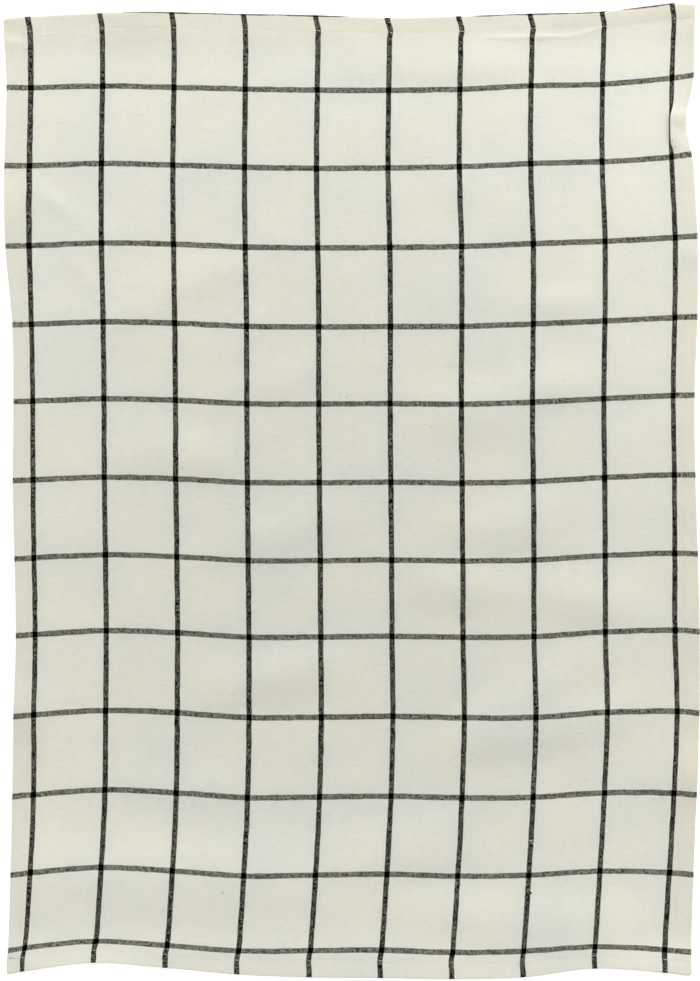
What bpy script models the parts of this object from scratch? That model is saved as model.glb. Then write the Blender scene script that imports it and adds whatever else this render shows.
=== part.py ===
"""A checked tea towel of plain-woven cloth, hemmed on all four sides and laid out flat, face up.

The towel lies on the plane z = 0 with its length along Y and its width along X, in metres. The origin is the
middle of the towel's outline, at the surface it lies on. The cloth is one piece: its hems are turned under, so
they make the rim thicker. Places on the cloth are counted in the flat cloth, before it was laid: "across" from
the left hem's fold and "along" from the bottom hem's fold. The tables say how the laid cloth strays from that.
"""

import bisect
import math

import bpy

MM = 0.001

# The towel as it is cut and sewn
WIDTH = 500 * MM
LENGTH = 700 * MM
CLOTH = 1.0 * MM
HEM_STACK = 2.2 * MM
HEM_EDGE = 1.2 * MM
HEM_DEPTH = 12.5 * MM
HEM_STEP = 1.6 * MM
HEM_ROUND = 0.9 * MM

# The check: where its woven stripes run, in millimetres from the left fold and from the bottom fold. The weft
# stripes were beaten up unevenly, so the gap from each one to the next is given.
FIRST_WARP = 16
WARP_GAPS = (52, 52, 52, 52.4, 52, 51.8, 51.8, 52, 50.6)
FIRST_WEFT = 18.5
WEFT_GAPS = (55, 56.7, 58.3, 58.5, 55.5, 56.8, 57.4, 56.3, 57.8, 57.9, 56.7)

# A small tuck beside the last warp stripe: the cloth to its right is pushed up and leans over towards the stripe
TUCK_CREST = 485.6 * MM
TUCK_FRONT = 4.3 * MM
TUCK_BACK = 8.2 * MM
TUCK_MIDDLE = 613 * MM
TUCK_HALF_LENGTH = 35 * MM
TUCK_FRONT_TAKE = 3.7 * MM
TUCK_BACK_TAKE = 0.7 * MM
TUCK_HEIGHT = 2.6 * MM

# The widest step between two lines of the mesh
FIELD_STEP = 13 * MM

# How far the laid cloth strays to the right, in millimetres, along each of these lines
STRAY_RIGHT = {
    # line           left fold  first stripe  last stripe  right fold
    "bottom fold": (-0.4, -5.4, -4.2, -1.8),
    "bottom stitches": (-0.1, -4.8, -4.4, -2.0),
    "weft 1": (0.6, -3.2, -4.2, -2.1),
    "weft 2": (2.5, 0.7, -0.6, -0.3),
    "weft 3": (3.5, 3.1, 2.8, 1.9),
    "weft 4": (4.6, 3.4, 5.1, 4.1),
    "weft 5": (6.2, 4.1, 3.4, 4.2),
    "weft 6": (5.2, 3.4, 3.4, 2.9),
    "weft 7": (4.0, 2.6, 3.1, 1.1),
    "weft 8": (4.5, 2.4, 2.3, 0.5),
    "weft 9": (3.7, 1.5, 3.4, 2.6),
    "weft 10": (-1.4, 0.1, 3.7, 2.7),
    "weft 11": (-2.2, 0.3, 1.2, -0.4),
    "weft 12": (-0.5, 1.2, 1.4, -0.1),
    "top stitches": (-2.2, 0.9, 2.4, 0.4),
    "top fold": (-3.1, -0.9, 1.0, 0.8),
}

# How far it strays towards the top, in millimetres, along each of these lines
STRAY_UP = {
    # line        bottom fold  weft 1  weft 4  weft 8  weft 10  weft 12  top fold
    "left fold": (-0.4, -1.2, -0.8, 0.2, -0.6, 0.1, -3.9),
    "warp 1": (2.0, 1.0, 0.5, 0.7, -0.4, 0.0, -2.7),
    "warp 2": (8.6, 5.6, 3.6, 2.3, 1.7, 1.4, -0.2),
    "warp 3": (4.8, 2.6, 1.8, 1.3, 0.8, 0.4, 0.5),
    "warp 4": (-0.1, -1.3, -1.6, -1.2, -1.3, -0.8, -0.7),
    "warp 5": (-2.3, -1.2, -1.3, -1.5, -1.9, -1.6, -1.6),
    "warp 6": (-2.8, -0.8, -0.8, -1.2, -1.6, -1.8, -3.5),
    "warp 7": (-3.5, -2.6, -1.7, -1.6, -0.9, -1.0, -2.4),
    "warp 8": (-2.3, -1.6, -1.3, -0.2, 1.2, 1.5, -0.5),
    "warp 9": (4.2, 1.6, 2.2, 2.4, 2.9, 2.7, 0.8),
    "warp 10": (1.6, -0.4, 3.0, 4.7, 5.5, 7.0, 6.6),
    "right fold": (-1.3, -2.2, 1.6, 5.0, 6.9, 9.1, 6.3),
}

# The soft folds and lifted edges: the middle of each in millimetres from the origin, the way it runs in degrees,
# and how far it reaches along and to each side and how high it stands, in millimetres
SWELLS = {
    # name                       x     y   turn  along  aside  height
    "left of the middle": (-125, 27, -6, 85, 28, 1.0),
    "middle": (-55, -30, 17, 80, 25, 1.0),
    "right of the middle": (118, -22, 16, 68, 28, 1.6),
    "right, above the middle": (149, 78, 4, 55, 26, 1.3),
    "right of the middle, above": (87, 58, -3, 60, 30, 1.3),
    "right, below the middle": (87, -70, -4, 85, 26, 1.2),
    "right, falling": (174, -77, -14, 75, 26, 1.4),
    "right, lower": (140, -172, 11, 110, 26, 1.9),
    "left, lower": (-59, -135, 9, 85, 26, 1.6),
    "lower left": (-190, -283, -2, 120, 44, 2.7),
    "lower left, going on": (-70, -283, -2, 120, 44, 2.7),
    "lower middle": (36, -263, 10, 70, 30, 1.5),
    "lower right": (160, -313, -1, 90, 28, 1.4),
    "lower right, going on": (80, -308, -4, 90, 28, 1.3),
    "below the top hem": (75, 313, 0, 155, 24, 0.9),
    "top hem's ridge": (138, 335, 3, 46, 9, 1.6),
    "bottom edge, left": (-183, -352, 0, 70, 26, 2.4),
    "bottom edge, right": (222, -350, 0, 60, 26, 2.8),
    "top edge, left": (-152, 356, 90, 50, 40, 2.2),
    "top right corner": (252, 360, 42, 75, 48, 1.6),
    "left edge, upper": (-254, 206, 0, 48, 30, 1.2),
    "left edge, lower": (-244, -158, 0, 44, 32, 1.8),
    "right edge, lower": (254, -205, 0, 46, 32, 2.0),
}


def check_lines(first, gaps, size):
    """Where the near fold, the stripes and the far fold are along a side of that size."""
    stripes = [first * MM]
    for gap in gaps:
        stripes.append(stripes[-1] + gap * MM)
    return [0, *stripes, size]


WARPS = check_lines(FIRST_WARP, WARP_GAPS, WIDTH)
WEFTS = check_lines(FIRST_WEFT, WEFT_GAPS, LENGTH)


def eased(stations, values, place):
    """The value at a place, on the smooth curve through the values at the stations."""

    def slope(i):
        before, after = max(i - 1, 0), min(i + 1, len(stations) - 1)
        return (values[after] - values[before]) / (stations[after] - stations[before])

    i = min(max(bisect.bisect_right(stations, place) - 1, 0), len(stations) - 2)
    span = stations[i + 1] - stations[i]
    q = (place - stations[i]) / span
    start = values[i] * (1 + 2 * q) + slope(i) * span * q
    end = values[i + 1] * (3 - 2 * q) - slope(i + 1) * span * (1 - q)
    return start * (1 - q) ** 2 + end * q**2


def straight(stations, values, place):
    """The value at a place, on straight lines between the values at the stations."""
    i = min(max(bisect.bisect_right(stations, place) - 1, 0), len(stations) - 2)
    q = (place - stations[i]) / (stations[i + 1] - stations[i])
    return values[i] * (1 - q) + values[i + 1] * q


def hump(q):
    """A soft hump: 1 in the middle, at q = 0, and 0 from q = 1 outwards, with no edge."""
    return math.cos(math.pi / 2 * q) ** 2 if abs(q) < 1 else 0.0


def stray_right(across, along):
    """How far a point of the laid cloth is off to the right, without the tuck."""
    rows = [0, HEM_DEPTH, *WEFTS[1:-1], LENGTH - HEM_DEPTH, LENGTH]
    columns = [WARPS[0], WARPS[1], WARPS[-2], WARPS[-1]]
    values = [eased(rows, column, along) for column in zip(*STRAY_RIGHT.values())]
    return straight(columns, values, across) * MM


def stray_up(across, along):
    """How far a point of the laid cloth is off towards the top."""
    rows = [WEFTS[k] for k in (0, 1, 4, 8, 10, 12, 13)]
    values = [eased(WARPS, column, across) for column in zip(*STRAY_UP.values())]
    return eased(rows, values, along) * MM


def tuck(across, along):
    """How far the tuck moves a point to the left, and how high it lifts it."""
    beyond = across - TUCK_CREST
    q = beyond / (TUCK_FRONT if beyond < 0 else TUCK_BACK)
    front = TUCK_FRONT_TAKE * min(max(1 + q, 0), 1)
    back = TUCK_BACK_TAKE * min(max(q, 0), 1)
    share = hump((along - TUCK_MIDDLE) / TUCK_HALF_LENGTH)
    return share * (front + back), share * TUCK_HEIGHT * hump(q)


def swell(x, y):
    """How high the soft folds lift the cloth off the surface."""
    lift = 0.0
    for middle_x, middle_y, heading, half_length, half_width, height in SWELLS.values():
        right, up = x / MM - middle_x, y / MM - middle_y
        turn = math.radians(heading)
        lengthways = right * math.cos(turn) + up * math.sin(turn)
        sideways = up * math.cos(turn) - right * math.sin(turn)
        lift += height * MM * hump(lengthways / half_length) * hump(sideways / half_width)
    return lift


def laid(across, along):
    """Where a point of the flat cloth's underside lies."""
    moved, raised = tuck(across, along)
    x = across - WIDTH / 2 + stray_right(across, along) - moved
    y = along - LENGTH / 2 + stray_up(across, along)
    return x, y, swell(x, y) + raised


def mesh_lines(size, extra):
    """The mesh's lines from fold to fold: those that shape the hems, some extra ones, and even steps between."""
    near = [0, HEM_ROUND, HEM_DEPTH, HEM_DEPTH + HEM_STEP]
    shaping = sorted([*near, *extra, *(size - line for line in near)])
    lines = [shaping[0]]
    for start, end in zip(shaping, shaping[1:]):
        steps = math.ceil((end - start) / FIELD_STEP)
        lines.extend(start + (end - start) * i / steps for i in range(1, steps + 1))
    return lines


def thickness(across, along):
    """How thick the cloth is: a single layer in the field, and the turned hem's layers in the rim."""
    inward = min(across, WIDTH - across, along, LENGTH - along)
    return straight(
        [0, HEM_ROUND, HEM_DEPTH, HEM_DEPTH + HEM_STEP, WIDTH],
        [HEM_EDGE, HEM_STACK, HEM_STACK, CLOTH, CLOTH],
        inward,
    )


def woven_cloth():
    """Off-white cotton and linen, soft and matt, for a solid that doesn't show its check."""
    material = bpy.data.materials.new("woven_cloth")
    material.use_nodes = True
    shader = material.node_tree.nodes["Principled BSDF"]
    shader.inputs["Base Color"].default_value = (0.70, 0.69, 0.60, 1)
    shader.inputs["Roughness"].default_value = 0.9
    shader.inputs["Metallic"].default_value = 0.0
    return material


def towel(collection):
    """The towel: a grid laid out point by point, then thickened upwards from its underside."""
    tuck_lines = [TUCK_CREST + offset for offset in (-TUCK_FRONT, -TUCK_FRONT / 2, 0, TUCK_BACK)]
    ridge_lines = [LENGTH - HEM_DEPTH - offset for offset in (6 * MM, 12 * MM)]
    columns = mesh_lines(WIDTH, tuck_lines)
    rows = mesh_lines(LENGTH, ridge_lines)
    bpy.ops.mesh.primitive_grid_add(
        x_subdivisions=len(columns) - 1, y_subdivisions=len(rows) - 1, size=1
    )
    cloth = bpy.context.object
    cloth.name = cloth.data.name = "towel"
    layers = cloth.vertex_groups.new(name="layers")
    for vertex in cloth.data.vertices:
        across = columns[round((vertex.co.x + 0.5) * (len(columns) - 1))]
        along = rows[round((vertex.co.y + 0.5) * (len(rows) - 1))]
        vertex.co = laid(across, along)
        layers.add([vertex.index], thickness(across, along) / HEM_STACK, "REPLACE")
    centre_outline(cloth)
    cloth.data.materials.append(woven_cloth())
    cloth.data.shade_smooth()
    shell = cloth.modifiers.new("thickness", "SOLIDIFY")
    shell.thickness = HEM_STACK
    shell.offset = 1
    shell.vertex_group = layers.name
    for owner in cloth.users_collection:
        owner.objects.unlink(cloth)
    collection.objects.link(cloth)
    return cloth


def centre_outline(cloth):
    """Moves the laid cloth sideways, so that the origin is in the middle of its outline."""
    for axis in (0, 1):
        reached = [vertex.co[axis] for vertex in cloth.data.vertices]
        middle = (min(reached) + max(reached)) / 2
        for vertex in cloth.data.vertices:
            vertex.co[axis] -= middle


def main():
    for thing in list(bpy.data.objects):
        bpy.data.objects.remove(thing)
    collection = bpy.data.collections.new("tea_towel")
    bpy.context.scene.collection.children.link(collection)
    towel(collection)


main()
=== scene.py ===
"""A checked tea towel laid out flat on white paper, in soft light, seen from straight above.

Sizes are in millimetres. They are counted on the flat cloth from the left hem's fold ("across") and from the
bottom hem's fold ("along"), or on the table from the middle of the towel. Meshes are in metres.
"""

from __future__ import annotations

import bisect
import functools
import itertools
import logging
import math
from collections.abc import Callable, Sequence
from dataclasses import dataclass, field
from enum import Enum
from typing import Any

import bmesh
import bpy
from mathutils import Matrix, Vector, noise


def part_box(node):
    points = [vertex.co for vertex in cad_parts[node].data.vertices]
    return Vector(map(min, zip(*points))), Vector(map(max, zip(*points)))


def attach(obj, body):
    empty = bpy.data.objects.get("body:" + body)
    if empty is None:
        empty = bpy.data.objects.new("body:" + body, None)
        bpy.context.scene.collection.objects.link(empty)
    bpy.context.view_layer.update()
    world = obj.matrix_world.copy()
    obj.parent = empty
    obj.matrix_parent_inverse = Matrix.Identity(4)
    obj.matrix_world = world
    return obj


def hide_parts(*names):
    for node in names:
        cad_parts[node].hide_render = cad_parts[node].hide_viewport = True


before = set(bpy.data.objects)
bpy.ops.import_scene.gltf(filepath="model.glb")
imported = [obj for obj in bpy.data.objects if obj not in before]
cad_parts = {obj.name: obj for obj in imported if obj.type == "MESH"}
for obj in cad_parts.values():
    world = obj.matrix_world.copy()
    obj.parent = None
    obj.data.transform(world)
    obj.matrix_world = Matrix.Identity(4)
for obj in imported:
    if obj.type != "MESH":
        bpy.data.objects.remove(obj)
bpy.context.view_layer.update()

log = logging.getLogger("tea_towel")

MM = 0.001
BODY = "root"
NODE = "towel"


def linear(colour: str, alpha: float = 1.0) -> tuple[float, float, float, float]:
    """Turns an sRGB hex colour into the linear values that a shader takes.

    Args:
        colour: The colour as "#rrggbb".
        alpha: Its opacity.

    Returns:
        Linear red, green and blue, and the opacity.
    """
    shares = [int(colour[i : i + 2], 16) / 255 for i in (1, 3, 5)]
    red, green, blue = (c / 12.92 if c <= 0.04045 else ((c + 0.055) / 1.055) ** 2.4 for c in shares)
    return red, green, blue, alpha


def add_node(
    tree: bpy.types.NodeTree,
    kind: str,
    inputs: Sequence[Any] | dict[str, Any] = (),
    result: int = 0,
    **settings: Any,
) -> bpy.types.NodeSocket | None:
    """Adds a shader node with its settings and links.

    Args:
        tree: The material's node tree.
        kind: The node's type, without its ShaderNode prefix.
        inputs: A socket to link or a value to set for each input, by their identifiers or in their order, in
            which None leaves one as it is.
        result: The index of the output to hand back.
        **settings: The node's own properties.

    Returns:
        The chosen output socket, or None for a node without one.
    """
    made = tree.nodes.new(f"ShaderNode{kind}")
    for name, value in settings.items():
        setattr(made, name, value)
    sockets = {socket.identifier: socket for socket in made.inputs}
    pairs = inputs.items() if isinstance(inputs, dict) else zip(sockets, inputs)
    for name, value in pairs:
        if isinstance(value, bpy.types.NodeSocket):
            tree.links.new(value, sockets[name])
        elif value is not None:
            sockets[name].default_value = value
    return made.outputs[result] if made.outputs else None


def empty_material(name: str) -> tuple[bpy.types.Material, Callable[..., bpy.types.NodeSocket | None]]:
    """Makes a material without nodes.

    Args:
        name: The material's name.

    Returns:
        The material, and the function that adds a node to it.
    """
    material = bpy.data.materials.new(name)
    material.use_nodes = True
    material.node_tree.nodes.clear()
    return material, functools.partial(add_node, material.node_tree)


def eased(stations: tuple[float, ...], values: tuple[float, ...], place: float) -> float:
    """Reads a smooth curve through the values at the stations.

    Args:
        stations: Where the values are known, in rising order.
        values: The values there.
        place: Where to read the curve.

    Returns:
        The value at the place.
    """

    def slope(i: int) -> float:
        """The curve's slope at a station."""
        before, after = max(i - 1, 0), min(i + 1, len(stations) - 1)
        return (values[after] - values[before]) / (stations[after] - stations[before])

    i = min(max(bisect.bisect_right(stations, place) - 1, 0), len(stations) - 2)
    span = stations[i + 1] - stations[i]
    q = (place - stations[i]) / span
    start = values[i] * (1 + 2 * q) + slope(i) * span * q
    end = values[i + 1] * (3 - 2 * q) - slope(i + 1) * span * (1 - q)
    return start * (1 - q) ** 2 + end * q**2


def straight(stations: tuple[float, ...], values: tuple[float, ...], place: float) -> float:
    """Reads the straight lines between the values at the stations.

    Args:
        stations: Where the values are known, in rising order.
        values: The values there.
        place: Where to read the lines; the first and the last go on beyond the stations.

    Returns:
        The value at the place.
    """
    i = min(max(bisect.bisect_right(stations, place) - 1, 0), len(stations) - 2)
    q = (place - stations[i]) / (stations[i + 1] - stations[i])
    return values[i] * (1 - q) + values[i + 1] * q


def hump(q: float) -> float:
    """A soft hump: 1 at q = 0 and 0 from q = 1 outwards."""
    return math.cos(math.pi / 2 * q) ** 2 if abs(q) < 1 else 0.0


def rise(q: float) -> float:
    """A soft rise from 0 at q = 0 to 1 at q = 1."""
    q = min(max(q, 0.0), 1.0)
    return q * q * (3 - 2 * q)


def finished_object(name: str, bm: bmesh.types.BMesh) -> bpy.types.Object:
    """Makes an object of a bmesh, smooth-shaded, at the origin and in the scene.

    Args:
        name: The piece's name.
        bm: Its shape, which is freed.

    Returns:
        The new object.
    """
    mesh = bpy.data.meshes.new(name)
    bm.to_mesh(mesh)
    bm.free()
    mesh.shade_smooth()
    piece = bpy.data.objects.new(name, mesh)
    bpy.context.scene.collection.objects.link(piece)
    return piece


@dataclass(frozen=True)
class WindowpaneCheck:
    """Where the dyed stripes run on the flat towel, and how its threads are counted."""

    width: float = 500.0
    length: float = 700.0
    first_warp: float = 16.0
    warp_gaps: tuple[float, ...] = (52, 52, 52, 52.4, 52, 51.8, 51.8, 52, 50.6)
    first_weft: float = 18.5
    weft_gaps: tuple[float, ...] = (55, 56.7, 58.3, 58.5, 55.5, 56.8, 57.4, 56.3, 57.8, 57.9, 56.7)
    ends_per_gap: int = 80
    picks_per_gap: int = 82

    @functools.cached_property
    def warps(self) -> tuple[float, ...]:
        """The left fold, the warp stripes and the right fold."""
        return 0.0, *itertools.accumulate(self.warp_gaps, initial=self.first_warp), self.width

    @functools.cached_property
    def wefts(self) -> tuple[float, ...]:
        """The bottom fold, the weft stripes and the top fold."""
        return 0.0, *itertools.accumulate(self.weft_gaps, initial=self.first_weft), self.length

    def ends(self, across: float) -> float:
        """How many warp threads lie between the first warp stripe and a place."""
        stripes = self.warps[1:-1]
        return straight(stripes, tuple(i * self.ends_per_gap for i in range(len(stripes))), across)

    def picks(self, along: float) -> float:
        """How many weft threads lie between the first weft stripe and a place."""
        stripes = self.wefts[1:-1]
        return straight(stripes, tuple(k * self.picks_per_gap for k in range(len(stripes))), along)


@dataclass(frozen=True)
class Unevenness:
    """Soft random unevenness in blots of about one size, with other ones in each layer."""

    most: float
    wide: float
    high: float
    layer: float

    def at(self, x: float, y: float) -> float:
        """How much of it there is at a place, as often below 0 as above."""
        return self.most * noise.noise(Vector((x / self.wide, y / self.high, self.layer)))


@dataclass(frozen=True)
class Swell:
    """A soft fold, lifted edge, crease or pull of the cloth, by its middle, its turn and its half sizes."""

    x: float
    y: float
    turn: float
    along: float
    aside: float
    height: float

    @functools.cached_property
    def heading(self) -> tuple[float, float]:
        """The way it runs, as a step of length 1."""
        return math.cos(math.radians(self.turn)), math.sin(math.radians(self.turn))

    def at(self, x: float, y: float) -> float:
        """Works out how high it stands at a place.

        Args:
            x: The place, to the right.
            y: The place, towards the top.

        Returns:
            The height, below 0 for a dent.
        """
        right, up = x - self.x, y - self.y
        if max(abs(right), abs(up)) >= self.along + self.aside:
            return 0.0
        cos, sin = self.heading
        lengthways, sideways = right * cos + up * sin, up * cos - right * sin
        return self.height * hump(lengthways / self.along) * hump(sideways / self.aside)


@dataclass(frozen=True)
class Tuck:
    """A small tuck beside the last warp stripe: its front leans over the stripe and draws in the hem."""

    start: float = 481.5
    # The stretches over which the fold closes over the stripe and opens again, counted along the cloth
    closing: tuple[float, float] = (592.3, 599.6)
    opening: tuple[float, float] = (615.5, 630.0)
    # The stretch over which the hem is drawn in
    middle: float = 613.0
    half_length: float = 35.0
    drawn_in: float = 5.2
    # How high the cloth beside the fold stands, as a share of how far it is drawn in
    bulge: float = 0.2
    # The fold's section at its fullest: the cloth used up from its start, and how far right and high that is
    used: tuple[float, ...] = (0, 0.8, 1.2, 1.7, 2.3, 2.7, 3.8, 6.4, 18.0)
    right: tuple[float, ...] = (0, 0.75, 1.05, 0.7, 0.15, 0, 1.0, 3.6, 15.0)
    height: tuple[float, ...] = (0, 0.1, 0.45, 0.8, 1.1, 1.45, 1.75, 1.45, 0)

    def cover(self, along: float) -> float:
        """The share of its full section that the fold has at a place along the cloth."""
        closed = rise((along - self.closing[0]) / (self.closing[1] - self.closing[0]))
        return closed * rise((self.opening[1] - along) / (self.opening[1] - self.opening[0]))

    def shift(self, across: float, along: float) -> tuple[float, float]:
        """Works out what the tuck does to a point of the cloth.

        Args:
            across: The point's distance from the left fold.
            along: Its distance from the bottom fold.

        Returns:
            How far the point moves to the left, and how high it is lifted.
        """
        used = across - self.start
        drawn = self.drawn_in * hump((along - self.middle) / self.half_length)
        if used <= 0 or drawn == 0:
            return 0.0, 0.0
        cover, taken = self.cover(along), self.used[-1] - self.right[-1]
        share = used / self.used[-1]
        if share >= 1:
            return drawn, 0.0
        moved = cover * (used - eased(self.used, self.right, used)) + (drawn - cover * taken) * rise(share)
        folded, bulged = cover * eased(self.used, self.height, used), self.bulge * drawn * hump(2 * share - 1)
        return moved, max(folded, bulged, 0.0)


@dataclass(frozen=True, eq=False)
class Lay:
    """How the flat cloth lies on the table: where it strays sideways, and where it is lifted."""

    check: WindowpaneCheck
    tuck: Tuck = Tuck()
    # How far from the folds the rows at the stitches are
    hem: float = 12.5
    # How far the cloth is off to the right, at the left fold, the first and last stripes and the right fold
    stray_right: dict[str, tuple[float, ...]] = field(default_factory=lambda: {
        "bottom fold": (-0.4, -5.4, -4.2, -1.8),
        "bottom stitches": (-0.1, -4.8, -4.4, -2.0),
        "weft 1": (0.6, -3.2, -4.2, -2.1),
        "weft 2": (2.5, 0.7, -0.6, -0.3),
        "weft 3": (3.5, 3.1, 2.8, 1.9),
        "weft 4": (4.6, 3.4, 5.1, 4.1),
        "weft 5": (6.2, 4.1, 3.4, 4.2),
        "weft 6": (5.2, 3.4, 3.4, 2.9),
        "weft 7": (4.0, 2.6, 3.1, 1.1),
        "weft 8": (4.5, 2.4, 2.3, 0.5),
        "weft 9": (3.7, 1.5, 3.4, 2.6),
        "weft 10": (-1.4, 0.1, 3.7, 2.7),
        "weft 11": (-2.2, 0.3, 1.2, -0.4),
        "weft 12": (-0.5, 1.2, 1.4, -0.1),
        "top stitches": (-2.2, 0.9, 2.4, 0.4),
        "top fold": (-3.1, -0.9, 1.0, 0.8),
    })
    # How far it is off towards the top, at the bottom fold, wefts 1, 4, 8, 10 and 12 and the top fold
    stray_up: dict[str, tuple[float, ...]] = field(default_factory=lambda: {
        "left fold": (-0.4, -1.2, -0.8, 0.2, -0.6, 0.1, -3.9),
        "warp 1": (2.0, 1.0, 0.5, 0.7, -0.4, 0.0, -2.7),
        "warp 2": (8.6, 5.6, 3.6, 2.3, 1.7, 1.4, -0.2),
        "warp 3": (4.8, 2.6, 1.8, 1.3, 0.8, 0.4, 0.5),
        "warp 4": (-0.1, -1.3, -1.6, -1.2, -1.3, -0.8, -0.7),
        "warp 5": (-2.3, -1.2, -1.3, -1.5, -1.9, -1.6, -1.6),
        "warp 6": (-2.8, -0.8, -0.8, -1.2, -1.6, -1.8, -3.5),
        "warp 7": (-3.5, -2.6, -1.7, -1.6, -0.9, -1.0, -2.4),
        "warp 8": (-2.3, -1.6, -1.3, -0.2, 1.2, 1.5, -0.5),
        "warp 9": (4.2, 1.6, 2.2, 2.4, 2.9, 2.7, 0.8),
        "warp 10": (1.6, -0.4, 3.0, 4.7, 5.5, 7.0, 6.6),
        "right fold": (-1.3, -2.2, 1.6, 5.0, 6.9, 9.1, 6.3),
    })
    # Where the stitches pull the flat cloth to the right, or to the left if below 0
    pulls: dict[str, Swell] = field(default_factory=lambda: {
        "top stitches": Swell(320, 690, 0, 190, 8, 1.1),
        "bottom stitches": Swell(330, 11, 0, 230, 8, -0.55),
    })
    # Folds and lifted edges, which the solid has too
    swells: dict[str, Swell] = field(default_factory=lambda: {
        "left of the middle": Swell(-125, 27, -6, 85, 28, 1.0),
        "middle": Swell(-55, -30, 17, 80, 25, 1.0),
        "right of the middle": Swell(118, -22, 16, 68, 28, 1.6),
        "right, above the middle": Swell(149, 78, 4, 55, 26, 1.3),
        "right of the middle, above": Swell(87, 58, -3, 60, 30, 1.3),
        "right, below the middle": Swell(87, -70, -4, 85, 26, 1.2),
        "right, falling": Swell(174, -77, -14, 75, 26, 1.4),
        "right, lower": Swell(140, -172, 11, 110, 26, 1.9),
        "left, lower": Swell(-59, -135, 9, 85, 26, 1.6),
        "lower left": Swell(-190, -283, -2, 120, 44, 2.7),
        "lower left, going on": Swell(-70, -283, -2, 120, 44, 2.7),
        "lower middle": Swell(36, -263, 10, 70, 30, 1.5),
        "lower right": Swell(160, -313, -1, 90, 28, 1.4),
        "lower right, going on": Swell(80, -308, -4, 90, 28, 1.3),
        "below the top hem": Swell(75, 313, 0, 155, 24, 0.9),
        "bottom edge, left": Swell(-183, -352, 0, 70, 26, 2.4),
        "bottom edge, right": Swell(222, -350, 0, 60, 26, 2.8),
        "top edge, left": Swell(-152, 356, 90, 50, 40, 2.2),
        "top right corner": Swell(252, 360, 42, 75, 48, 1.6),
        "left edge, upper": Swell(-254, 206, 0, 48, 30, 1.2),
        "left edge, lower": Swell(-244, -158, 0, 44, 32, 1.8),
        "right edge, lower": Swell(254, -205, 0, 46, 32, 2.0),
    })
    # Ripples too low for the solid
    ripples: dict[str, Swell] = field(default_factory=lambda: {
        "upper left, slanting": Swell(-112, 156, 22, 80, 24, 0.9),
        "left, above the middle": Swell(-50, 84, 6, 50, 22, 0.5),
        "far left, above the middle": Swell(-160, 128, 4, 60, 16, 0.5),
        "upper middle": Swell(87, 223, 0, 35, 28, 0.6),
        "upper right": Swell(152, 140, 0, 46, 16, 0.8),
        "right hem": Swell(246, 175, 0, 22, 16, 0.9),
        "right, slanting": Swell(130, -148, 27, 80, 24, 1.4),
        "lower left, below": Swell(-130, -322, -2, 190, 34, 0.8),
        "above the lower left": Swell(-110, -214, -2, 120, 20, 0.5),
    })
    # Narrow creases and the hems' slight curls, too fine for the solid
    creases: dict[str, Swell] = field(default_factory=lambda: {
        "top hem's ridge": Swell(130, 332.3, 1, 50, 2.8, 0.45),
        "top hem's ridge, right end": Swell(172, 335.8, 18, 22, 2.8, 0.4),
        "slant, upper left": Swell(-214, 211, -36, 34, 7, 1.0),
        "slant, lower left": Swell(-196, 162, -63, 36, 7, 0.8),
        "dent": Swell(-2, -36, 88, 9, 2.2, -0.4),
        "beside the tuck": Swell(239, 274.5, -10, 12, 9, 1.4),
        "dent beside the tuck": Swell(237, 266, -20, 7, 2.6, -0.4),
        "left corner": Swell(-246, 336, -8, 22, 8, -0.8),
        "top hem's curl": Swell(205, 352, 5, 95, 14, 1.05),
        "right hem's curl": Swell(256, 322, 90, 60, 14, 1.2),
        "bottom hem's curl": Swell(-105, -351, 0, 80, 14, 0.4),
    })
    # The field's small loose wrinkles, broad and fine ones, and their mean height
    wrinkles: tuple[Unevenness, ...] = (Unevenness(0.36, 34, 26, 3.7), Unevenness(0.11, 13, 9, 11.2))
    wrinkled: float = 0.3

    @functools.cached_property
    def folds(self) -> tuple[Swell, ...]:
        """All the soft folds, low ripples, creases and curls."""
        return *self.swells.values(), *self.ripples.values(), *self.creases.values()

    @functools.cache
    def row_right(self, along: float) -> tuple[float, ...]:
        """How far the left fold, the first and last stripes and the right fold are off to the right."""
        rows = (0.0, self.hem, *self.check.wefts[1:-1], self.check.length - self.hem, self.check.length)
        return tuple(eased(rows, column, along) for column in zip(*self.stray_right.values()))

    @functools.cache
    def column_up(self, across: float) -> tuple[float, ...]:
        """How far the bottom fold, wefts 1, 4, 8, 10 and 12 and the top fold are off towards the top."""
        return tuple(eased(self.check.warps, column, across) for column in zip(*self.stray_up.values()))

    def right(self, across: float, along: float) -> float:
        """How far a point of the cloth is off to the right, without the tuck."""
        off = sum(pull.at(across, along) for pull in self.pulls.values())
        return off + straight((*self.check.warps[:2], *self.check.warps[-2:]), self.row_right(along), across)

    def up(self, across: float, along: float) -> float:
        """How far a point of the cloth is off towards the top."""
        wefts = self.check.wefts
        return eased(tuple(wefts[k] for k in (0, 1, 4, 8, 10, 12, 13)), self.column_up(across), along)

    def place(self, across: float, along: float) -> tuple[float, float, float]:
        """Finds where a point of the cloth lies.

        Args:
            across: The point's distance from the left fold.
            along: Its distance from the bottom fold.

        Returns:
            The point's place on the table, and how far it is lifted off it.
        """
        moved, raised = self.tuck.shift(across, along)
        x = across - self.check.width / 2 + self.right(across, along) - moved
        y = along - self.check.length / 2 + self.up(across, along)
        lift = sum(fold.at(x, y) for fold in self.folds)
        loose = sum((wrinkle.at(x, y) for wrinkle in self.wrinkles), self.wrinkled)
        return x, y, max(lift + raised + loose, 0.0)


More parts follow.
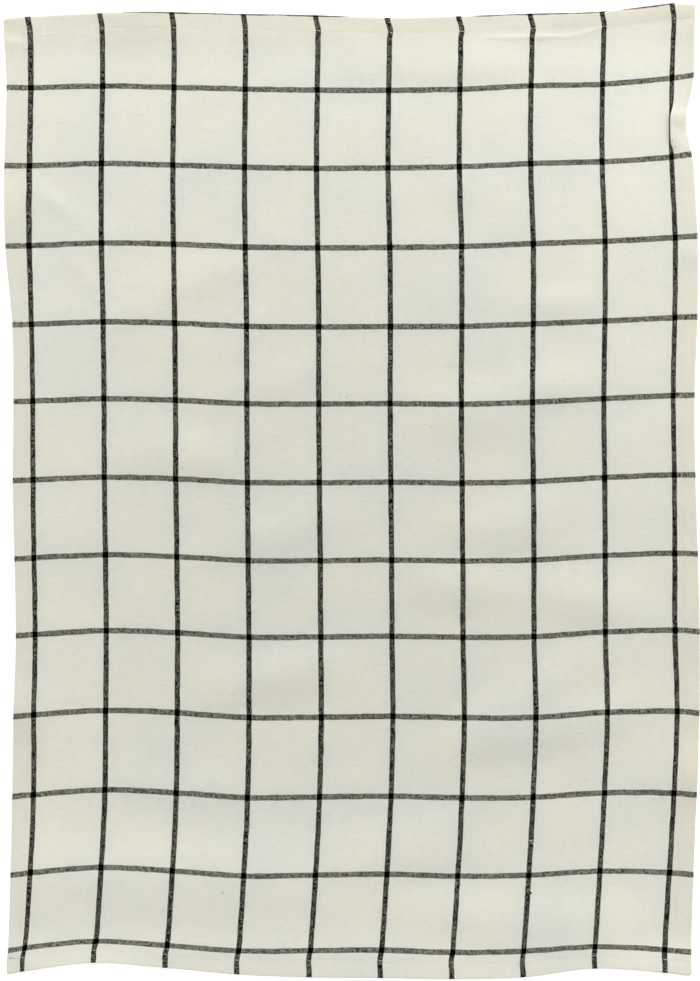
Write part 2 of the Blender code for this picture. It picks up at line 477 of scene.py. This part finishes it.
@dataclass(frozen=True, eq=False)
class DoubleHem:
    """A hem whose raw edge is turned in twice, so that the cloth lies in three layers."""

    depth: float = 12.6
    # The length of the layer that ends in the raw edge
    raw: float = 10.7
    cloth: float = 0.34
    # From the middle of one layer to the middle of the next
    gap: float = 0.37
    # The share of its thickness that the cloth keeps where two hems cross
    pressed: float = 0.6
    # How far into the field the face slopes down from the hem
    step: float = 20.0
    # The stitches' distance from the fold, half the width of the strip that they press, and how much at most
    seam: float = 11.4
    half_strip: float = 1.6
    pucker: float = 0.12
    uneven: Unevenness = Unevenness(0.5, 7, 7, 1.3)

    @property
    def turn(self) -> float:
        """The length of a quarter of the outer fold."""
        return math.pi / 2 * self.gap

    @property
    def slack(self) -> float:
        """How much longer the cloth is around the outer fold than straight to its edge."""
        return self.turn - self.gap

    @property
    def under(self) -> float:
        """The length of the layer at the back."""
        return self.depth - 1.5 * self.gap

    @property
    def allowance(self) -> float:
        """The cloth turned in, from the outer fold's edge to the raw edge."""
        return 2 * self.turn + self.under + self.raw

    def layers(self, inward: float) -> float:
        """The share of the hem's height that the face has, at a distance from the fold."""
        return 1 - rise((inward - self.depth) / self.step)

    @functools.cache
    def section(self, run: float, stack: float = 0.0, sunk: float = 0.0) -> tuple[float, float]:
        """Follows the cloth round the hem, seen in section.

        Args:
            run: The distance along the cloth from the outer fold's edge, above 0 on the face.
            stack: The height of what is folded with the cloth, where another hem crosses.
            sunk: How far below the face the followed layer lies in that stack.

        Returns:
            The distance inward from the fold's edge, and the height.
        """
        pitch = stack + self.gap
        reach = pitch + stack / 2
        bend = (pitch + stack) / 2
        edge = self.cloth / 2
        if run >= self.turn:
            spread = (self.depth - reach) / (self.depth - self.gap)
            inward = run - self.slack
            if inward < self.depth:
                inward = reach + (run - self.turn) * spread
            inward += edge * (1 - rise(inward / self.depth))
            return inward, stack - sunk + 2 * pitch * self.layers(inward)
        if run > -self.turn:
            angle = run / self.turn * math.pi / 2
            inward = edge + reach - (reach - sunk) * math.cos(angle)
            return inward, reach + (reach - sunk) * math.sin(angle)
        back = -run - self.turn
        centre = self.depth - bend
        if back < self.under:
            share = back / self.under
            return (edge + reach) * (1 - share) + centre * share, sunk
        back -= self.under
        if back < self.turn:
            angle = back / self.turn * math.pi
            return centre + (bend - sunk) * math.sin(angle), bend - (bend - sunk) * math.cos(angle)
        return centre - (back - self.turn), pitch + stack - sunk

    def thin(self, run_x: float, run_y: float) -> float:
        """The share of its thickness that the cloth keeps: it is pressed thinner where two hems cross."""
        in_x, in_y = self.section(run_x)[0], self.section(run_y)[0]
        return 1 - (1 - self.pressed) * self.layers(in_x) * self.layers(in_y)

    def runs(self) -> list[float]:
        """Lists the mesh lines that follow the hem's folds.

        Returns:
            Their runs from the outer fold's edge, in rising order from the raw edge to the field.
        """
        middle, turned = self.turn + self.under, 2 * self.turn + self.under
        lines = [-self.allowance, -self.allowance + 3, -turned - 2.6, -turned - 0.9]
        lines += [-middle - self.turn * share for share in (1, 0.67, 0.33, 0)]
        lines += [-middle + 1.1, -middle + 3.4, -self.turn - 2.6, -self.turn - 0.9]
        lines += [self.turn * share for share in (-1, -0.67, -0.33, 0, 0.33, 0.67, 1)]
        return lines + [1.9, 4, 6.2, 8.2, 9.8, 10.8, 11.6, 12.4, 13.2, 14, 14.9, 16.2, 18.5]


@dataclass
class TowelCloth:
    """The towel's one piece of cloth: its face, and the hems turned to its back."""

    lay: Lay
    hem: DoubleHem = DoubleHem()
    # The mesh lines' widest and narrowest spacing in the field
    field_step: float = 4.5
    least_step: float = 0.35
    # Closer lines from the tuck's start and from the top fold: the first, the step and how many
    tuck_lines: tuple[float, float, int] = (-0.8, 0.55, 14)
    ridge_lines: tuple[float, float, int] = (-12.6, -1.4, 7)
    corner: float = 3.2
    # How far the top hem's fold is off the thread at places across: where it is, the next stripe shows on it
    fold_off_thread: tuple[tuple[float, float], ...] = (
        (0, -0.6), (79, -0.4), (88, 0.6), (100, 0.9), (126, 1.2), (150, 1.1), (166, 0.9), (186, 1.3),
        (200, 1.0), (212, 1.4), (239, 1.0), (247, 0.2), (254, -0.5), (330, -0.5), (340, 0.7), (350, 1.1),
        (366, 0.8), (374, 1.2), (386, 1.6), (398, 1.2), (404, 1.5), (412, 0.9), (428, 1.0), (436, 0.0),
        (446, 0.1), (453, 0.9), (462, 1.4), (476, 1.3), (481, 0.9), (485, -0.4), (520, -0.4),
    )
    # How far from the top fold that begins
    fold_reach: float = 9.0
    # How much the left, the right, the bottom and the top hem differ from the field in tint and in the
    # painted shade that darkens them
    hem_tints_and_shade: tuple[float, float, float, float] = (0.25, 0.38, 0.05, 0.65)
    # Where the laid cloth is moved as a whole, in metres
    shift: Vector = field(default_factory=lambda: Vector((0, 0, 0)))

    @property
    def cut_size(self) -> tuple[float, float]:
        """The width and length that the cloth was cut to, in metres."""
        extra = 2 * (self.hem.allowance + self.hem.slack)
        return (self.lay.check.width + extra) * MM, (self.lay.check.length + extra) * MM

    def lines(self, size: float, extra: list[float]) -> list[float]:
        """Lists the mesh lines across one way of the cloth.

        Args:
            size: The distance from fold to fold.
            extra: Lines to add in the field.

        Returns:
            Their places from the near fold, in rising order and below 0 on the turned-in cloth.
        """
        near = [run - self.hem.slack for run in self.hem.runs()]
        far = [size - line for line in reversed(near)]
        extra = [line for line in extra if min(abs(line - other) for other in near + far) > self.least_step]
        fixed = sorted(near + extra + far)
        lines = [fixed[0]]
        for start, end in zip(fixed, fixed[1:]):
            steps = max(math.ceil((end - start) / self.field_step), 1)
            lines.extend(start + (end - start) * i / steps for i in range(1, steps + 1))
        return lines

    def run(self, place: float, size: float) -> tuple[float, bool]:
        """The distance along the cloth from the nearer fold's edge, and whether that is the far one."""
        far = place > size / 2
        return (size - place if far else place) + self.hem.slack, far

    def point(self, across: float, along: float) -> Vector:
        """Finds where a point of the cut cloth lies, at the middle of its thickness.

        Args:
            across: Its distance from the left fold, below 0 or above the width on the turned-in cloth.
            along: Its distance from the bottom fold, likewise.

        Returns:
            Its place, in metres.
        """
        check, hem = self.lay.check, self.hem
        run_x, far_x = self.run(across, check.width)
        run_y, far_y = self.run(along, check.length)
        in_x, level = hem.section(run_x)
        full = 2 * hem.gap * hem.layers(in_x)
        guess_y, _ = hem.section(run_y)
        press = 1 - (1 - hem.pressed) * hem.layers(guess_y)
        in_y, height = hem.section(run_y, full * press, (full - level) * press)
        in_x, in_y = self.rounded(in_x, in_y)
        flat_x = check.width - in_x if far_x else in_x
        flat_y = check.length - in_y if far_y else in_y
        x, y, lift = self.lay.place(flat_x, flat_y)
        stitched = max(hump((inward - hem.seam) / hem.half_strip) for inward in (in_x, in_y))
        height *= 1 - hem.pucker * stitched * (0.5 + hem.uneven.at(x, y))
        return Vector((x, y, height + lift + hem.cloth / 2)) * MM + self.shift

    def rounded(self, in_x: float, in_y: float) -> tuple[float, float]:
        """Rounds the towel's corners, which the turned hems make blunt.

        Args:
            in_x: A point's distance from the nearer side fold.
            in_y: Its distance from the nearer end fold.

        Returns:
            The two distances, larger inside the corner's round.
        """
        near_x, near_y = self.corner - in_x, self.corner - in_y
        if min(near_x, near_y) <= 0:
            return in_x, in_y
        share = max(near_x, near_y) / math.hypot(near_x, near_y)
        return self.corner - near_x * share, self.corner - near_y * share

    def face_at(self, x: float, y: float) -> Vector:
        """Finds the cloth's face at a place on the table.

        Args:
            x: The place's distance to the right of the towel's middle.
            y: Its distance towards the top.

        Returns:
            The point of the face there, in metres.
        """
        check = self.lay.check
        across, along = x + check.width / 2, y + check.length / 2
        for _ in range(5):
            found_x, found_y, _ = self.lay.place(across, along)
            across += x - found_x
            along += y - found_y
        return self.point(across, along) + Vector((0, 0, self.hem.cloth / 2 * MM))

    def build(self) -> bpy.types.Object:
        """Builds the cloth from a grid, laid out and folded point by point, then gives it its thickness.

        Returns:
            The towel's cloth.
        """
        check = self.lay.check
        first, step, count = self.tuck_lines
        columns = self.lines(check.width, [self.lay.tuck.start + first + step * i for i in range(count)])
        first, step, count = self.ridge_lines
        rows = self.lines(check.length, [check.length + first + step * i for i in range(count)])
        bm = bmesh.new()
        bmesh.ops.create_grid(bm, x_segments=len(columns) - 1, y_segments=len(rows) - 1, size=0.5)
        group = bm.verts.layers.deform.verify()
        places: dict[int, tuple[float, float]] = {}
        for vertex in bm.verts:
            across = columns[round((vertex.co.x + 0.5) * (len(columns) - 1))]
            along = rows[round((vertex.co.y + 0.5) * (len(rows) - 1))]
            places[vertex.index] = (across, along)
            run_x, run_y = self.run(across, check.width)[0], self.run(along, check.length)[0]
            vertex[group][0] = self.hem.thin(run_x, run_y)
            vertex.co = self.point(across, along)
        self.centre(bm)
        self.count_threads(bm, places)
        cloth = finished_object("towel_cloth", bm)
        cloth.vertex_groups.new(name="thickness")
        shell = cloth.modifiers.new("thickness", "SOLIDIFY")
        shell.thickness = self.hem.cloth * MM
        shell.offset = 0
        shell.vertex_group = "thickness"
        return cloth

    def centre(self, bm: bmesh.types.BMesh) -> None:
        """Sets the middle of the cloth's outline at the middle of its solid's.

        Args:
            bm: The laid cloth.
        """
        low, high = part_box(NODE)
        for axis in (0, 1):
            reached = [vertex.co[axis] for vertex in bm.verts]
            self.shift[axis] = (low[axis] + high[axis]) / 2 - (min(reached) + max(reached)) / 2
        bmesh.ops.translate(bm, vec=self.shift, verts=bm.verts)

    def count_threads(self, bm: bmesh.types.BMesh, places: dict[int, tuple[float, float]]) -> None:
        """Writes on the cloth its flat place in metres, its thread count and how much of a hem's tint and
        painted shade it has.

        Args:
            bm: The laid cloth.
            places: Each vertex's place on the flat cloth.
        """
        flat = bm.loops.layers.uv.new("flat_cloth")
        threads = bm.loops.layers.uv.new("threads")
        hems = bm.verts.layers.float.new("hem")
        check, hem = self.lay.check, self.hem
        stations, offs = zip(*self.fold_off_thread)
        for vertex in bm.verts:
            across, along = places[vertex.index]
            folded = rise((along - check.length + self.fold_reach) / self.fold_reach)
            off = eased(stations, offs, across) * folded
            count = (check.ends(across), check.picks(along + off))
            inwards = (across, check.width - across, along, check.length - along)
            near = (hem.layers(inward + hem.step / 3) for inward in inwards)
            # How much of a hem's warmer tint and painted shade each point takes
            vertex[hems] = max(tint * share for tint, share in zip(self.hem_tints_and_shade, near))
            for loop in vertex.link_loops:
                loop[flat].uv = (across * MM, along * MM)
                loop[threads].uv = count


@dataclass(frozen=True)
class PlainWeave:
    """Plain-woven cloth of cotton and linen, of bleached off-white yarns with black-dyed ones in the stripes.

    It is soft and quite matt. Its yarns are spun unevenly, which shows as short thick places along the wefts.
    """

    check: WindowpaneCheck
    warm_white: str = "#dfddcc"
    cool_white: str = "#d6d7ce"
    # What the hems tend to, the top one the most: a warmer tint of their own, darkened by painted shade
    hem_white_and_shade: str = "#d5cfbd"
    # The same yarn right beside the dyed ones, in their shade
    shaded_white: str = "#8e8d7e"
    black: str = "#020202"
    stripe_yarns: int = 6

    def material(self) -> bpy.types.Material:
        """Makes the cloth's material on its thread count.

        Returns:
            The material.
        """
        material, node = empty_material("plain_woven_cotton_and_linen")

        # The yarns wander a little, so that no row is ruled straight
        flat = node("UVMap", uv_map="flat_cloth")
        threads = node("UVMap", uv_map="threads")
        wander = node("TexNoise", (flat, None, 90.0, 1.0), result=1, noise_dimensions="2D")
        wander = node("VectorMath", (wander, (0.5, 0.5, 0.5)), operation="SUBTRACT")
        yarns = node("VectorMath", (wander, (1.1, 1.1, 0.0), threads), operation="MULTIPLY_ADD")
        end_at = node("SeparateXYZ", (yarns,), result=0)
        pick_at = node("SeparateXYZ", (yarns,), result=1)
        end = node("Math", (end_at,), operation="FLOOR")
        pick = node("Math", (pick_at,), operation="FLOOR")

        # For the ends and for the picks: which are dyed, how round each is, and how far off a stripe is
        dyed, rounded, near = [], [], []
        gaps = self.check.ends_per_gap, self.check.picks_per_gap
        for place, yarn, gap in zip((end_at, pick_at), (end, pick), gaps):
            stripe = node("Math", (yarn, self.stripe_yarns / 2), operation="ADD")
            stripe = node("Math", (stripe, gap), operation="FLOORED_MODULO")
            dyed.append(node("Math", (stripe, self.stripe_yarns - 0.5), operation="LESS_THAN"))
            section = node("Math", (place,), operation="FRACT")
            section = node("Math", (section, math.pi), operation="MULTIPLY")
            rounded.append(node("Math", (section,), operation="SINE"))
            near.append(node("Math", (place, gap / 2), operation="PINGPONG"))
        beside, above = rounded

        # Each yarn goes over and under in turn
        odd = node("Math", (end, pick), operation="ADD")
        odd = node("Math", (odd, 2.0), operation="FLOORED_MODULO")
        side = node("Math", (odd, -2.0, 1.0), operation="MULTIPLY_ADD")
        end_height = node("Math", (side, above), operation="MULTIPLY")
        end_height = node("Math", (end_height, beside), operation="ADD")
        pick_height = node("Math", (side, beside), operation="MULTIPLY")
        pick_height = node("Math", (above, pick_height), operation="SUBTRACT")

        # Its spinning is uneven: long thick and thin places in the warp, short ones in the weft, and slubs
        spun = []
        for stretch, row, scale, detail in (
            ((0.0, 0.05, 0.0), (end,), 5.17, 2.0),
            ((0.06, 0.0, 0.0), (None, pick), 5.31, 2.0),
            ((0.014, 0.0, 0.0), (None, pick), 5.71, 1.0),
        ):
            place = node("VectorMath", (yarns, stretch), operation="MULTIPLY")
            place = node("VectorMath", (place, node("CombineXYZ", row)), operation="ADD")
            spun.append(node("TexNoise", (place, None, scale, detail), noise_dimensions="2D"))
        spun_end, spun_pick, slub = spun
        end_height = node("Math", (spun_end, 1.0, end_height), operation="MULTIPLY_ADD")
        pick_height = node("Math", (spun_pick, 1.4, pick_height), operation="MULTIPLY_ADD")
        height = node("Math", (end_height, pick_height), operation="MAXIMUM")

        # Which of two crossing yarns shows is uneven too. This speckle is a fifth coarser than the yarns, so
        # that the camera sees it
        speckle = node("VectorMath", (yarns, (0.83, 0.83, 0.0)), operation="MULTIPLY")
        speckle = node("VectorMath", (speckle,), operation="FLOOR")
        speckle = node("TexWhiteNoise", (speckle,), noise_dimensions="2D")
        ahead = node("Math", (end_height, pick_height), operation="SUBTRACT")
        ahead = node("Math", (ahead, 0.25, -0.2), operation="MULTIPLY_ADD")
        for cause, weight in ((speckle, 1.5), (dyed[0], 0.46), (dyed[1], 0.08)):
            ahead = node("Math", (cause, weight, ahead), operation="MULTIPLY_ADD")

        # Bleached yarn is cooler near the stripes and in soft patches, warmer in the hems and darkened there
        # by painted shade, and darkened by painted shade from the dyed yarns right beside them
        patches = node("TexNoise", (flat, None, 13.0, 3.0, 0.6), noise_dimensions="2D")
        patches = node("Math", (patches, 0.5), operation="SUBTRACT")
        beside_stripe = node("Math", tuple(near), operation="MINIMUM")
        cool = node("MapRange", (beside_stripe, 2.0, 19.0, 0.87, 0.42), interpolation_type="SMOOTHSTEP")
        cool = node("Math", (patches, 1.5, cool), operation="MULTIPLY_ADD")
        # The hems' share of their warmer tint and of the painted shade that darkens them
        in_hem_tint_and_shade = node("Attribute", result=2, attribute_name="hem", attribute_type="GEOMETRY")
        shaded = node("MapRange", (beside_stripe, 2.4, 3.2, 1.0, 0.0))
        white = linear(self.warm_white)
        for share, other in ((cool, self.cool_white), (in_hem_tint_and_shade, self.hem_white_and_shade), (shaded, self.shaded_white)):
            pair = {"Factor_Float": share, "A_Color": white, "B_Color": linear(other)}
            white = node("Mix", pair, result=2, data_type="RGBA")

        # The stripes' yarns are black, and the yarn that lies ahead shows
        black = linear(self.black)
        pairs = ({"Factor_Float": share, "A_Color": white, "B_Color": black} for share in dyed)
        end_colour, pick_colour = (node("Mix", pair, result=2, data_type="RGBA") for pair in pairs)
        pair = {"Factor_Float": ahead, "A_Color": pick_colour, "B_Color": end_colour}
        colour = node("Mix", pair, result=2, data_type="RGBA")

        # Painted shade between the yarns, a painted highlight on the slubs, painted shade at the wefts' thin
        # places, and mottling
        depth = node("MapRange", (height, 0.5, 4.0, 0.99, 1.005))
        thick = node("MapRange", (slub, 0.68, 0.76, 0.0, 0.05), interpolation_type="SMOOTHSTEP")
        thin = node("MapRange", (slub, 0.22, 0.31, -0.07, 0.0), interpolation_type="SMOOTHSTEP")
        mottling = node("TexNoise", (flat, None, 170.0, 2.0, 0.6), noise_dimensions="2D")
        mottling = node("MapRange", (mottling, 0.3, 0.7, -0.013, 0.013))
        shade = node("Math", (thick, thin), operation="ADD")
        shade = node("Math", (shade, mottling), operation="ADD")
        shade = node("Math", (shade, depth, depth), operation="MULTIPLY_ADD")
        colour = node("VectorMath", {"Vector": colour, "Scale": shade}, operation="SCALE")

        bump = node("Bump", {"Strength": 0.15, "Distance": 0.12 * MM, "Height": height})
        inputs = {
            "Base Color": colour,
            "Roughness": 0.92,
            "Metallic": 0.0,
            "Specular IOR Level": 0.02,
            "Sheen Weight": 0.01,
            "Sheen Roughness": 0.5,
            "Normal": bump,
        }
        node("OutputMaterial", (node("BsdfPrincipled", inputs),))
        return material


@dataclass(frozen=True)
class SewingThread:
    """Spun polyester sewing thread, off-white and matt, with its ply showing as fine slanting ridges."""

    light: str = "#e0ddd0"
    shaded: str = "#cfccbf"

    def material(self) -> bpy.types.Material:
        """Makes the thread's material.

        Returns:
            The material.
        """
        material, node = empty_material("spun_sewing_thread")
        place = node("TexCoord", result=3)
        ply = node("TexNoise", (place, None, 2600.0, 1.0))
        ply = node("MapRange", (ply, 0.3, 0.7, 0.0, 1.0))
        pair = {"Factor_Float": ply, "A_Color": linear(self.shaded), "B_Color": linear(self.light)}
        colour = node("Mix", pair, result=2, data_type="RGBA")
        bump = node("Bump", {"Strength": 0.3, "Distance": 0.05 * MM, "Height": ply})
        inputs = {"Base Color": colour, "Roughness": 0.8, "Specular IOR Level": 0.15, "Normal": bump}
        node("OutputMaterial", (node("BsdfPrincipled", inputs),))
        return material


@dataclass(frozen=True)
class PlainFinish:
    """A matt finish of one colour, which may glow a little."""

    name: str
    colour: str
    roughness: float
    shine: float
    glow: float = 0.0

    def material(self) -> bpy.types.Material:
        """Makes the finish's material.

        Returns:
            The material.
        """
        material, node = empty_material(self.name)
        inputs = {
            "Base Color": linear(self.colour),
            "Roughness": self.roughness,
            "Specular IOR Level": self.shine,
            "Emission Color": (1, 1, 1, 1),
            "Emission Strength": self.glow,
        }
        node("OutputMaterial", (node("BsdfPrincipled", inputs),))
        return material


# Loose cotton yarn is fuzzy, without gloss, and where bleached a little lighter than the woven cloth
BLEACHED_YARN = PlainFinish("bleached_cotton_yarn", "#f2f0e8", 0.9, 0.05)
BLACK_YARN = PlainFinish("black_cotton_yarn", "#0c0c0b", 0.95, 0.05)
# Uncoated paper, lit from behind a little so that it stays clean white
BACKGROUND_PAPER = PlainFinish("white_background_paper", "#f4f4f4", 0.9, 0.1, 0.35)


class Face(Enum):
    """The side of the cloth on which a row of stitches shows."""

    FRONT = 1
    BACK = -1


@dataclass
class HemStitches:
    """The lockstitch rows that hold the four hems: one thread a hem, in and out of its holes on each face."""

    cloth: TowelCloth
    pitch: float = 2.9
    width: float = 0.32
    height: float = 0.2
    # The share of its width that the thread has in the holes, and its bow and its dip in heights
    waist: float = 0.45
    bow: float = 1.1
    dip: float = 0.85
    # How far from a fold a seam starts and ends, and how far its holes stray sideways
    end: float = 3.0
    astray: Unevenness = Unevenness(0.12, 3, 3, 7.1)
    rings: int = 5
    sides: int = 6

    def seams(self) -> list[tuple[Vector, Vector]]:
        """Finds where the seams run.

        Returns:
            The two ends of each hem's seam on the flat cloth.
        """
        check, seam, end = self.cloth.lay.check, self.cloth.hem.seam, self.end
        sides, ends = (seam, check.width - seam), (seam, check.length - seam)
        seams = [(Vector((x, end)), Vector((x, check.length - end))) for x in sides]
        return seams + [(Vector((end, y)), Vector((check.width - end, y))) for y in ends]

    def surface(self, spot: Vector, face: Face) -> Vector:
        """Finds a spot of a seam on the outside of the hem.

        Args:
            spot: The place on the flat cloth.
            face: The front or the back.

        Returns:
            The place on the cloth's surface there.
        """
        top = self.cloth.point(spot.x, spot.y)
        if face is Face.FRONT:
            return top + Vector((0, 0, self.cloth.hem.cloth / 2 * MM))
        lift = self.cloth.lay.place(spot.x, spot.y)[2]
        return Vector((top.x, top.y, lift * MM))

    def thread(self, start: Vector, end: Vector, face: Face) -> bmesh.types.BMesh:
        """Runs one thread along a seam: it bows out of the cloth in each stitch and dips into the holes.

        Args:
            start: The seam's first end on the flat cloth.
            end: Its other end.
            face: The front or the back.

        Returns:
            The thread.
        """
        way = (end - start).normalized()
        count = int((end - start).length / self.pitch)
        holes = []
        for i in range(count + 1):
            spot = start + way * self.pitch * i
            spot += Vector((way.y, way.x)) * self.astray.at(spot.x, spot.y)
            holes.append(self.surface(spot, face))
        bm = bmesh.new()
        bmesh.ops.create_grid(bm, x_segments=self.sides, y_segments=count * self.rings, size=0.5)
        for vertex in bm.verts:
            ring = round((vertex.co.y + 0.5) * count * self.rings)
            i = min(ring // self.rings, count - 1)
            share = ring / self.rings - i
            arch = math.sin(math.pi * share) ** 0.7
            angle = 2 * math.pi * vertex.co.x
            aside = self.width / 2 * (self.waist + (1 - self.waist) * arch) * math.cos(angle)
            out = self.height * (0.5 * math.sin(angle) + self.bow * arch - self.dip)
            across = Vector((way.y, -way.x, 0)) * aside
            vertex.co = holes[i].lerp(holes[i + 1], share) + (across + Vector((0, 0, out * face.value))) * MM
        bmesh.ops.remove_doubles(bm, verts=bm.verts, dist=0.001 * MM)
        bmesh.ops.holes_fill(bm, edges=bm.edges)
        bmesh.ops.recalc_face_normals(bm, faces=bm.faces)
        return bm

    def build(self, face: Face) -> bpy.types.Object:
        """Builds the stitches of one side of the towel.

        Args:
            face: The front or the back.

        Returns:
            The stitches, as one piece.
        """
        rows = bmesh.new()
        for start, end in self.seams():
            thread = self.thread(start, end, face)
            made = bpy.data.meshes.new("seam")
            thread.to_mesh(made)
            thread.free()
            rows.from_mesh(made)
            bpy.data.meshes.remove(made)
        return finished_object("hem_stitches" if face is Face.FRONT else "hem_stitches_back", rows)


@dataclass(frozen=True)
class YarnEnd:
    """A short loose end of yarn or a knot on the cloth's face, by its place, its turn and its size."""

    x: float
    y: float
    turn: float
    length: float
    width: float


@dataclass
class LooseYarn:
    """The loose ends and knots of bleached and of black yarn, which lie on the cloth's face."""

    cloth: TowelCloth
    bleached: dict[str, YarnEnd] = field(default_factory=lambda: {
        "end beside warp 8": YarnEnd(134.0, -256.0, -42, 7.0, 0.4),
        "end at warp 8": YarnEnd(131.0, -252.6, -14, 2.4, 0.4),
        "beside warp 9": YarnEnd(186.1, -246.2, 0, 2.2, 0.7),
        "corner, first": YarnEnd(-223.5, 334.0, 0, 4.0, 0.4),
        "corner, second": YarnEnd(-236.4, 324.6, 0, 2.4, 0.45),
        "top hem, first": YarnEnd(-229.5, 334.1, 3, 1.8, 0.4),
        "top hem, second": YarnEnd(-217.2, 334.4, -4, 2.0, 0.4),
        "top hem, third": YarnEnd(-210.8, 334.2, 2, 1.8, 0.4),
        "top hem, fourth": YarnEnd(-204.0, 334.6, 0, 1.5, 0.4),
    })
    black: dict[str, YarnEnd] = field(default_factory=lambda: {
        "knot at warp 8": YarnEnd(131.0, -290.8, 0, 1.9, 1.4),
        "below weft 2": YarnEnd(-93.2, -290.3, 40, 1.1, 0.7),
        "above weft 7": YarnEnd(-122.4, 18.6, 0, 0.9, 0.5),
        "beside warp 5": YarnEnd(-2.9, 70.3, 0, 0.9, 0.5),
        "middle": YarnEnd(59.0, 48.4, 0, 0.9, 0.5),
        "tuck, first": YarnEnd(233.9, 256.9, 90, 1.0, 0.5),
        "tuck, second": YarnEnd(236.0, 252.1, 90, 0.9, 0.5),
        "bottom corner, first": YarnEnd(-247.4, -337.6, 20, 0.9, 0.6),
        "bottom corner, second": YarnEnd(-245.2, -337.9, 70, 0.8, 0.6),
    })
    # A yarn end's height, and how high its middle lies above the face, as shares of its width
    flattened: float = 0.7
    raised: float = 0.25
    sides: int = 8
    rings: int = 6

    def build(self, name: str, ends: dict[str, YarnEnd]) -> bpy.types.Object:
        """Builds the yarn ends of one colour, each a small spindle.

        Args:
            name: The piece's name.
            ends: The yarn ends.

        Returns:
            The ends, as one piece.
        """
        bm = bmesh.new()
        for end in ends.values():
            ball = bmesh.ops.create_uvsphere(bm, u_segments=self.sides, v_segments=self.rings, radius=MM / 2)
            spindle = ball["verts"]
            size = Vector((end.length, end.width, self.flattened * end.width))
            bmesh.ops.scale(bm, vec=size, verts=spindle)
            bmesh.ops.rotate(bm, matrix=Matrix.Rotation(math.radians(end.turn), 3, "Z"), verts=spindle)
            rest = self.cloth.face_at(end.x, end.y) + Vector((0, 0, self.raised * end.width * MM))
            bmesh.ops.translate(bm, vec=rest, verts=spindle)
        return finished_object(name, bm)


@dataclass
class Studio:
    """White paper under the towel, soft lights around it and a camera straight above."""

    # The picture's height in pixels, and the millimetres on the table that a pixel shows
    picture: int = 981
    pixel: float = 0.7285
    lens: float = 85.0
    sensor: float = 36.0
    aim: tuple[float, float] = (-1.27, 0.6)
    # The paper's half size in metres, and how far it lies below the towel
    half_paper: float = 3.0
    below: float = 0.3
    room_light: float = 0.15

    def build(self) -> None:
        """Sets up the paper, the lights, the surroundings and the camera."""
        self.paper()
        for name, place, size, power in (
            ("key_softbox", (0.5, 3.6, 1.35), (1.6, 1.0), 80.0),
            ("top_softbox", (0.2, 1.1, 0.45), (1.0, 0.4), 8.9),
            ("bottom_softbox", (0.0, -0.52, 0.25), (1.0, 0.3), 1.2),
            ("left_softbox", (-0.8, 0.1, 0.35), (1.2, 0.4), 4.25),
            ("right_softbox", (0.8, 0.1, 0.35), (1.2, 0.4), 4.0),
        ):
            self.light(name, Vector(place), size, power)
        self.surroundings()
        self.camera()
        bpy.context.scene.view_settings.view_transform = "Standard"

    def paper(self) -> None:
        """Lays the background paper, a broad sheet a little below the towel."""
        bm = bmesh.new()
        bmesh.ops.create_grid(bm, x_segments=1, y_segments=1, size=self.half_paper)
        bmesh.ops.translate(bm, vec=Vector((0, 0, -self.below * MM)), verts=bm.verts)
        paper = finished_object("background_paper", bm)
        paper.data.materials.append(BACKGROUND_PAPER.material())

    def light(self, name: str, place: Vector, size: tuple[float, float], power: float) -> None:
        """Hangs a softbox that faces the towel.

        Args:
            name: The light's name.
            place: Where its middle is, in metres.
            size: Its width and height in metres.
            power: Its power in watts.
        """
        data = bpy.data.lights.new(name, "AREA")
        data.shape = "RECTANGLE"
        data.size, data.size_y = size
        data.energy = power
        light = bpy.data.objects.new(name, data)
        light.location = place
        light.rotation_euler = (-place).to_track_quat("-Z", "Y").to_euler()
        bpy.context.scene.collection.objects.link(light)

    def surroundings(self) -> None:
        """Surrounds the scene with faint, even white light."""
        world = bpy.data.worlds.new("white_room")
        world.use_nodes = True
        background = world.node_tree.nodes["Background"]
        background.inputs["Color"].default_value = (1, 1, 1, 1)
        background.inputs["Strength"].default_value = self.room_light
        bpy.context.scene.world = world

    def camera(self) -> None:
        """Sets the camera straight above the towel, at the height that fits it in the picture."""
        data = bpy.data.cameras.new("camera")
        data.lens = self.lens
        data.sensor_fit = "VERTICAL"
        data.sensor_height = self.sensor
        camera = bpy.data.objects.new("camera", data)
        height = self.picture * self.pixel * self.lens / self.sensor
        camera.location = Vector((self.aim[0], self.aim[1], height)) * MM
        bpy.context.scene.collection.objects.link(camera)
        bpy.context.scene.camera = camera


def main() -> None:
    """Builds the towel and its scene, and reports each piece."""
    logging.basicConfig(level=logging.INFO, format="%(name)s: %(message)s")
    check = WindowpaneCheck()
    towel = TowelCloth(Lay(check))
    cloth = towel.build()
    cloth.data.materials.append(PlainWeave(check).material())
    stitches = HemStitches(towel)
    thread = SewingThread().material()
    rows = [stitches.build(face) for face in Face]
    for row in rows:
        row.data.materials.append(thread)
    yarn = LooseYarn(towel)
    bleached = yarn.build("bleached_yarn_ends", yarn.bleached)
    bleached.data.materials.append(BLEACHED_YARN.material())
    black = yarn.build("black_yarn_ends", yarn.black)
    black.data.materials.append(BLACK_YARN.material())
    for piece in (cloth, *rows, bleached, black):
        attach(piece, BODY)
        log.info("%s: %d faces", piece.name, len(piece.data.polygons))
    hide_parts(NODE)
    Studio().build()


if __name__ == "__main__":
    main()
